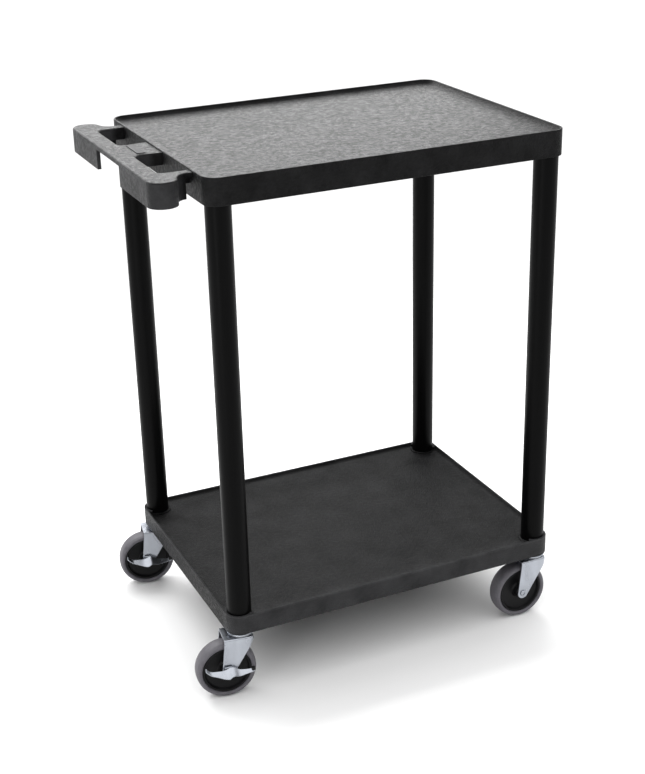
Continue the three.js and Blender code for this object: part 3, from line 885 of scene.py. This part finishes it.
def swivel_stack(place):
    """The profiles of a caster's stem, upper race and ball ring, by CAD node."""
    stem_low, stem_high = cad_box(f"caster_stem_{place}")
    race_low, race_high = cad_box(f"upper_race_{place}")
    ball_low, ball_high = cad_box(f"ball_ring_{place}")
    race = (race_high.x - race_low.x) / 2
    ball = (ball_high.x - ball_low.x) / 2
    head = (stem_high.x - stem_low.x) / 2
    middle = (ball_low.z + ball_high.z) / 2
    return {
        "caster_stem": [
            (0, stem_low.z),
            (head - 1, stem_low.z),
            (head, stem_low.z + 1.5),
            (head, stem_low.z + 3.5),
            (5.5, stem_low.z + 3.5),
            (5.5, stem_high.z - 2),
            (4, stem_high.z),
            (0, stem_high.z),
        ],
        "upper_race": [
            (5.8, race_low.z),
            (race, race_low.z),
            (race, race_low.z + 1.9),
            (race - 2.4, race_low.z + 3),
            (race - 3.4, race_high.z),
            (5.8, race_high.z),
        ],
        "ball_ring": [
            (6.5, ball_low.z),
            (ball - 0.8, ball_low.z),
            (ball, middle),
            (ball - 0.8, ball_high.z),
            (6.5, ball_high.z),
        ],
    }


class CART_OT_swivels(bpy.types.Operator):
    """Builds each caster's stem, upper race and ball ring"""

    bl_idname = "cart.swivels"
    bl_label = "Stems and Races"

    def execute(self, context):
        for place in PLACES:
            profiles = swivel_stack(place)
            spot = caster_place(place)
            kinds = {
                "caster_stem": ("stem", turned_steel, "frame"),
                "upper_race": ("race", bright_zinc, "frame"),
                "ball_ring": ("balls", turned_steel, f"swivel_{place}"),
            }
            for node, (name, maker, body) in kinds.items():
                shape = turned(profiles[node], 64, 0.35, 2)
                piece(shape, f"{name}_{place}", finish_for(context, maker), body, [f"{node}_{place}"], spot)
        return {"FINISHED"}


def fork(size):
    """A fork pressed from one sheet: a crown, and a wall round its front and sides, trimmed from the side."""
    half = size.fork_half
    corner = size.fork_corner
    nose = size.fork_nose
    eye = size.fork_eye
    plan = Outline(-size.fork_rear - 20, -half)
    plan.line(nose - corner, -half).arc(nose - corner, corner - half, 90, 8)
    plan.line(nose, half - corner).arc(nose - corner, half - corner, 90, 8)
    plan.line(-size.fork_rear - 20, half)
    bm = plan.bm
    bmesh.ops.remove_doubles(bm, verts=bm.verts, dist=0.001)
    bmesh.ops.translate(bm, verts=bm.verts, vec=(0, 0, size.fork_top))
    rim = bm.edges[:]
    bmesh.ops.contextual_create(bm, geom=bm.verts[:])
    made = bmesh.ops.extrude_edge_only(bm, edges=rim)
    lower = [part for part in made["geom"] if isinstance(part, bmesh.types.BMVert)]
    bmesh.ops.translate(bm, verts=lower, vec=(0, 0, 30 - size.fork_top))
    bmesh.ops.recalc_face_normals(bm, faces=bm.faces)
    if max(bm.faces, key=lambda face: abs(face.normal.z)).normal.z < 0:
        bmesh.ops.reverse_faces(bm, faces=bm.faces)
    bevel(bm, [edge for edge in rim if edge.is_valid and len(edge.link_faces) == 2], 3.2, 5)
    bmesh.ops.solidify(bm, geom=bm.faces[:], thickness=size.fork_sheet)
    bmesh.ops.recalc_face_normals(bm, faces=bm.faces)

    side = Outline(-size.fork_rear, size.fork_top + 5)
    side.line(-size.fork_rear, size.fork_top - 7)
    side.line(-size.trail - eye * 1.02, size.wheel + 3).arc(-size.trail, size.wheel, 152, 18)
    side.line(-11, 60).line(-1, 76).line(6.5, 88).line(12, 97).line(nose - 3, 105).line(nose + 4, 106)
    side.line(nose + 4, size.fork_top + 5).line(-size.fork_rear, size.fork_top + 5)
    return carved(bm, [("INTERSECT", upright(side.slab(-30, 30)))])


class CART_OT_forks(bpy.types.Operator):
    """Builds the four pressed forks"""

    bl_idname = "cart.forks"
    bl_label = "Forks"

    def execute(self, context):
        size = InMillimetres(context.scene.cart_caster)
        for place in PLACES:
            shape = fork(size)
            node = f"fork_{place}"
            spot = caster_place(place)
            piece(shape, f"pressed_{node}", finish_for(context, bright_zinc), f"swivel_{place}", [node], spot, edge=0.4)
        return {"FINISHED"}


def hexagon(radius, low, high, bore):
    """A hexagonal nut or bolt head with turned corners and a washer face."""
    bm = bmesh.new()
    bmesh.ops.create_circle(bm, cap_ends=True, segments=6, radius=radius)
    thicken(bm, low, high)
    cone = turned([(0, low - 0.1), (radius - 0.9, low - 0.1), (radius, low + 1), (radius, high), (0, high)], 48)
    tools = [("INTERSECT", cone)]
    if bore:
        tools.append(("DIFFERENCE", turned([(0, low - 1), (bore, low - 1), (bore, high + 1), (0, high + 1)], 32)))
    return carved(bm, tools)


class CART_OT_axles(bpy.types.Operator):
    """Builds each caster's axle bolt, nut and sleeve"""

    bl_idname = "cart.axles"
    bl_label = "Axles"

    def execute(self, context):
        size = InMillimetres(context.scene.cart_caster)
        cheek = size.fork_half
        for place in PLACES:
            face = cheek + (size.pedal_sheet + 0.6 if place in BRAKED else 0.3)
            spot = axle_place(place, size)
            body = f"swivel_{place}"
            zinc = finish_for(context, bright_zinc)
            end = face + (6 if place in BRAKED else 1.2)
            shank = turned([(0, -end), (3, -end), (4, 1 - end), (4, cheek + 1), (0, cheek + 1)], 32)
            head = hexagon(7, -cheek - 0.3 - 4.5, -cheek - 0.3, 0)
            bmesh.ops.scale(head, vec=(1, 1, -1), verts=head.verts)
            bmesh.ops.reverse_faces(head, faces=head.faces)
            bolt = joined([shank, head])
            piece(bolt, f"bolt_{place}", zinc, body, [f"axle_bolt_{place}"], spot, edge=0.25)
            if place in BRAKED:
                nut = hexagon(7, -face - 4.5, -face, 4.05)
            else:
                nut = round_nut(face)
            piece(nut, f"nut_{place}", zinc, body, [f"axle_nut_{place}"], spot, edge=0.25)
            end = cheek - size.fork_sheet - 0.3
            sleeve = turned([(4.3, -end), (6.2, -end), (6.2, end), (4.3, end)], 40, 0.3, 2)
            steel = finish_for(context, turned_steel)
            piece(sleeve, f"sleeve_{place}", steel, body, [f"axle_sleeve_{place}"], spot)
        return {"FINISHED"}


def round_nut(face):
    """A low round nut with a hexagonal socket in its face, seated at a distance from the middle plane."""
    dome = turned([(0, -face), (5.8, -face), (5.8, -face - 1.2), (4.6, -face - 2.6), (0, -face - 2.9)], 48, 0.5)
    key = bmesh.new()
    bmesh.ops.create_circle(key, cap_ends=True, segments=6, radius=2.6)
    thicken(key, -face - 4, -face - 1.3)
    return carved(dome, [("DIFFERENCE", key)])


def mirrored_profile(half):
    """A wheel's whole section from the half of it on one side, listed from the outside in."""
    return half + [(radius, -height) for radius, height in reversed(half)]


class CART_OT_wheels(bpy.types.Operator):
    """Builds the four tyres and hubs"""

    bl_idname = "cart.wheels"
    bl_label = "Wheels"

    def execute(self, context):
        size = InMillimetres(context.scene.cart_caster)
        outer = size.wheel
        inner = size.tyre_inner
        half = size.tyre_half
        rim = size.rim_half
        tyre_half = [
            (outer, 0.28 * half),
            (outer - 0.7, 0.66 * half),
            (outer - 3.6, half),
            (inner + 2, half),
            (inner, rim),
        ]
        hub_half = [
            (inner - 0.3, rim),
            (inner - 3.2, rim),
            (inner - 5.5, 7),
            (15, 5),
            (12.5, 8),
            (11, 17.5),
            (6.5, 17.5),
        ]
        for place in PLACES:
            spot = axle_place(place, size)
            body = f"wheel_{place}"
            tread = turned(mirrored_profile(tyre_half), 112, 1.6, 3)
            rubber = finish_for(context, tyre_rubber)
            piece(tread, f"tread_{place}", rubber, body, [f"tyre_{place}"], spot)
            hub = turned(mirrored_profile(hub_half), 96, 0.8, 3)
            plastic = finish_for(context, hub_nylon)
            piece(hub, f"hub_{place}", plastic, body, [f"wheel_hub_{place}"], spot)
        return {"FINISHED"}


def pedal_height(x, size):
    """Height of the pedal's inner edge above the axle: falling forwards, ridged, and curled up behind."""
    ridge = 5.8 * math.exp(-(((x - size.pedal_ridge) / 9.0) ** 2))
    curl = 7.5 * max(0.0, (-x - size.pedal_rear + 13) / 13) ** 2
    tip = 2.2 * max(0.0, (x - size.pedal_front + 12) / 12) ** 2
    return 6.6 - 0.1 * x + ridge + curl + tip


def pedal_blade(size):
    """The pedal's blade: a grid, drawn out to a point by the axle and sloped away from the fork."""
    bm = bmesh.new()
    bmesh.ops.create_grid(bm, x_segments=56, y_segments=6, size=1)
    for point in bm.verts:
        along = (point.co.x + 1) / 2
        across = (point.co.y + 1) / 2
        x = -size.pedal_rear + along * (size.pedal_rear + size.pedal_front)
        reach = size.pedal_rear if x < 0 else size.pedal_front
        bulge = (1 - abs(x) / reach) ** 1.6
        out = across * (size.pedal_tip + size.pedal_flare * bulge)
        point.co = (x, -size.pedal_inner - out, pedal_height(x, size) - 1.1 * out)
    bmesh.ops.recalc_face_normals(bm, faces=bm.faces)
    bmesh.ops.solidify(bm, geom=bm.faces[:], thickness=size.pedal_sheet)
    bmesh.ops.recalc_face_normals(bm, faces=bm.faces)
    return bm


def pedal_ear(size):
    """The eye on the axle bolt, with the tab that carries the blade."""
    ear = Outline(6, 14.2)
    ear.line(6, 6).arc(0, 0, -270, 24).line(-6, 14.2).line(6, 14.2)
    shape = upright(ear.slab(size.fork_half + 0.3, size.fork_half + 0.3 + size.pedal_sheet))
    bend = block((-6, -size.pedal_inner - 1, 12.2), (6, -size.fork_half - 0.3, 14.2))
    return joined([shape, bend])


class CART_OT_pedals(bpy.types.Operator):
    """Builds the brake pedals and their pads"""

    bl_idname = "cart.pedals"
    bl_label = "Brake Pedals"

    def execute(self, context):
        size = InMillimetres(context.scene.cart_caster)
        for place in BRAKED:
            spot = caster_place(place) @ Matrix.Translation((-size.trail, 0, size.wheel))
            body = f"brake_{place}"
            shape = joined([pedal_blade(size), pedal_ear(size)])
            zinc = finish_for(context, bright_zinc)
            piece(shape, f"pedal_{place}", zinc, body, [f"brake_pedal_{place}"], spot, edge=0.35)
            pad = rounded_rectangle(6.5, 6, 1.6, 1.2, 7.0, 4)
            bmesh.ops.translate(
                pad, verts=pad.verts, vec=(size.pedal_front - 2.2, -size.pedal_inner - size.pedal_tip / 2, 0)
            )
            rubber = finish_for(context, pad_rubber)
            piece(pad, f"pad_{place}", rubber, body, [f"brake_pad_{place}"], spot, edge=0.8)
        return {"FINISHED"}


# ---------------------------------------------------------------- stage


def soft_light(name, power, width, height, place, target):
    data = bpy.data.lights.new(name, "AREA")
    data.shape = "RECTANGLE"
    data.size = width
    data.size_y = height
    data.energy = power
    lamp = bpy.data.objects.new(name, data)
    lamp.location = place
    lamp.rotation_euler = (Vector(target) - Vector(place)).to_track_quat("-Z", "Y").to_euler()
    lamp.visible_camera = False
    bpy.context.scene.collection.objects.link(lamp)
    return lamp


class CART_OT_stage(bpy.types.Operator):
    """Builds the floor, the lights and the camera"""

    bl_idname = "cart.stage"
    bl_label = "Stage"

    def execute(self, context):
        stage = context.scene.cart_stage
        bm = bmesh.new()
        bmesh.ops.create_grid(bm, x_segments=1, y_segments=1, size=80)
        mesh = bpy.data.meshes.new("floor")
        bm.to_mesh(mesh)
        bm.free()
        floor = bpy.data.objects.new("floor", mesh)
        context.scene.collection.objects.link(floor)
        surface = Finish("pale_floor", tuple(stage.floor), 0.9, specular=0.0)
        surface.tint(surface.spread(surface.noise(2), 0, 1), 0.99, 1.0)
        mesh.materials.append(surface.material)

        world = bpy.data.worlds.new("studio")
        world.use_nodes = True
        nodes = world.node_tree.nodes
        height = nodes.new("ShaderNodeSeparateXYZ")
        fade = nodes.new("ShaderNodeMapRange")
        fade.inputs["From Min"].default_value = math.sin(math.radians(5))
        fade.inputs["From Max"].default_value = math.sin(math.radians(14))
        fade.inputs["To Min"].default_value = stage.horizon
        fade.inputs["To Max"].default_value = stage.sky
        link = world.node_tree.links.new
        link(nodes.new("ShaderNodeTexCoord").outputs["Generated"], height.inputs["Vector"])
        link(height.outputs["Z"], fade.inputs["Value"])
        link(fade.outputs["Result"], nodes["Background"].inputs["Strength"])
        nodes["Background"].inputs["Color"].default_value = (1, 1, 1, 1)
        context.scene.world = world
        context.scene.view_settings.view_transform = "Standard"

        soft_light("back_strip", stage.back_light, 2.6, 0.9, (0.0, 1.15, 1.45), (0, 0, 0.9))
        soft_light("side_softbox", stage.side_light, 0.5, 1.8, (-1.9, -1.5, 0.6), (0, 0, 0.3))
        data = bpy.data.lights.new("overhead", "SUN")
        data.energy = stage.overhead
        data.angle = math.radians(120)
        overhead = bpy.data.objects.new("overhead", data)
        context.scene.collection.objects.link(overhead)

        back = Vector(
            (
                math.sin(stage.bearing) * math.cos(stage.tilt),
                -math.cos(stage.bearing) * math.cos(stage.tilt),
                math.sin(stage.tilt),
            )
        )
        right = Vector((math.cos(stage.bearing), math.sin(stage.bearing), 0))
        up = back.cross(right)
        turn_right = math.cos(stage.roll) * right + math.sin(stage.roll) * up
        turn_up = math.cos(stage.roll) * up - math.sin(stage.roll) * right
        data = bpy.data.cameras.new("camera")
        data.lens = stage.lens
        data.sensor_width = 36
        camera = bpy.data.objects.new("camera", data)
        low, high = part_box("bottom_shelf")
        spot = Vector(stage.camera) + Vector(((low[0] + high[0]) / 2, (low[1] + high[1]) / 2, 0))
        turn = Matrix((turn_right, turn_up, back)).transposed().to_4x4()
        camera.matrix_world = Matrix.Translation(spot) @ turn
        context.scene.collection.objects.link(camera)
        context.scene.camera = camera
        return {"FINISHED"}


# ---------------------------------------------------------------- panel and registration

SETTINGS = {
    "cart_tray": CartTraySettings,
    "cart_handle": CartHandleSettings,
    "cart_leg": CartLegSettings,
    "cart_caster": CartCasterSettings,
    "cart_finish": CartFinishSettings,
    "cart_stage": CartStageSettings,
}
OPERATORS = (
    CART_OT_stage,
    CART_OT_trays,
    CART_OT_underside,
    CART_OT_handle,
    CART_OT_label,
    CART_OT_legs,
    CART_OT_swivels,
    CART_OT_forks,
    CART_OT_axles,
    CART_OT_wheels,
    CART_OT_pedals,
)


class CART_PT_panel(bpy.types.Panel):
    """Lists the cart's settings and the steps that build it"""

    bl_label = "Utility Cart"
    bl_idname = "CART_PT_panel"
    bl_space_type = "VIEW_3D"
    bl_region_type = "UI"
    bl_category = "Cart"

    def draw(self, context):
        for operator in OPERATORS:
            self.layout.operator(operator.bl_idname)
        for name in SETTINGS:
            settings = getattr(context.scene, name)
            column = self.layout.box().column()
            for key in settings.bl_rna.properties.keys():
                if key not in ("rna_type", "name"):
                    column.prop(settings, key)


def register():
    for name, group in SETTINGS.items():
        bpy.utils.register_class(group)
        setattr(bpy.types.Scene, name, PointerProperty(type=group))
    for made in (*OPERATORS, CART_PT_panel):
        bpy.utils.register_class(made)


def unregister():
    for made in reversed((*OPERATORS, CART_PT_panel)):
        bpy.utils.unregister_class(made)
    for name, group in SETTINGS.items():
        delattr(bpy.types.Scene, name)
        bpy.utils.unregister_class(group)


def main():
    register()
    for operator in OPERATORS:
        step = operator.bl_idname.split(".")[1]
        getattr(bpy.ops.cart, step)()


if __name__ == "__main__":
    main()
